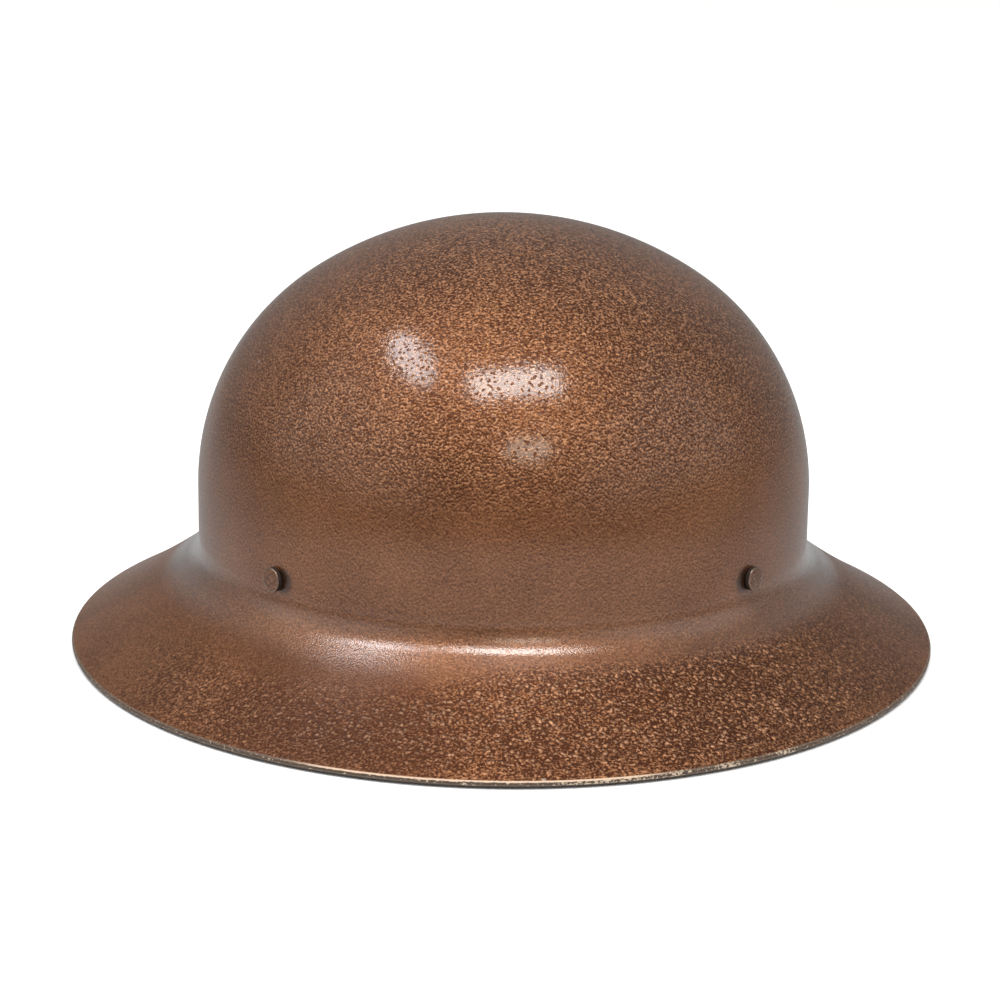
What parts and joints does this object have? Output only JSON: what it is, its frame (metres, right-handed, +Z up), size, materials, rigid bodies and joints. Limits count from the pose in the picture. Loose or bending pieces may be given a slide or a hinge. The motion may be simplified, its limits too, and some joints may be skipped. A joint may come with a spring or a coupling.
{
  "type": "civil defence helmet",
  "caption": "Full-brim steel civil defence helmet with a riveted head harness: hoop, crown straps, leather sweatband, chin strap rings and a nape strap with a cam buckle.",
  "frame": {"origin": "middle of the shell, level with the flat underside of the rim", "axes": "+Z up through the crown, -Y to the wearer's front, -X to the left of the picture"},
  "size_m": [0.3, 0.336, 0.145],
  "materials": {
    "shell_paint": "glossy copper-brown hammertone stove enamel on pressed steel",
    "spring_steel": "oiled spring steel strip",
    "zinc_steel": "dull zinc-plated steel",
    "hoop_aluminium": "mill-finish aluminium strip",
    "small_brass": "dull brass",
    "tan_leather": "smooth tan leather, slightly worn",
    "keeper_leather": "dark brown leather",
    "webbing": "woven cotton webbing",
    "lace_cotton": "round braided cotton lace"
  },
  "bodies": {
    "helmet": {"shell": "shell_paint", "rivet_front_left": "shell_paint", "rivet_front_right": "shell_paint", "rivet_rear_left": "shell_paint", "rivet_rear_right": "shell_paint", "rivet_washers": "zinc_steel", "hanger_front_left": "spring_steel", "hanger_front_right": "spring_steel", "hanger_rear_left": "spring_steel", "hanger_rear_right": "spring_steel", "hoop": "hoop_aluminium", "hoop_rivets": "small_brass", "sweatband": "tan_leather", "sweatband_hooks": "spring_steel", "hook_rivets": "small_brass", "strap_front": "webbing", "strap_front_right": "webbing", "strap_rear_right": "webbing", "strap_rear": "webbing", "strap_rear_left": "webbing", "strap_front_left": "webbing", "crown_lace": "lace_cotton", "ring_tab_left": "zinc_steel", "ring_tab_right": "zinc_steel", "nape_strap_left": "webbing", "nape_strap_right": "webbing", "nape_rivets": "small_brass", "buckle_plate": "zinc_steel", "buckle_rivets": "small_brass", "cam_pin": "zinc_steel"},
    "left_ring": {"chin_ring_left": "zinc_steel"},
    "right_ring": {"chin_ring_right": "zinc_steel"},
    "cam": {"cam_lever": "zinc_steel"},
    "strap_keeper": {"keeper": "keeper_leather"}
  },
  "joints": [
    {"name": "left_ring_swing", "type": "hinge", "parent": "helmet", "child": "left_ring", "pos_m": [-0.0857, 0, 0.03502], "axis": [0, 1, 0], "range_deg": [-16, 85]},
    {"name": "right_ring_swing", "type": "hinge", "parent": "helmet", "child": "right_ring", "pos_m": [0.0857, 0, 0.03502], "axis": [0, -1, 0], "range_deg": [-16, 85]},
    {"name": "cam_open", "type": "hinge", "parent": "helmet", "child": "cam", "pos_m": [0.00481, 0.10713, 0.02052], "axis": [0, 0, 1], "range_deg": [0, 85]},
    {"name": "keeper_slide", "type": "hinge", "parent": "helmet", "child": "strap_keeper", "pos_m": [0, 0.0376, 0.02052], "axis": [0, 0, 1], "range_deg": [-1, 8]}
  ]
}
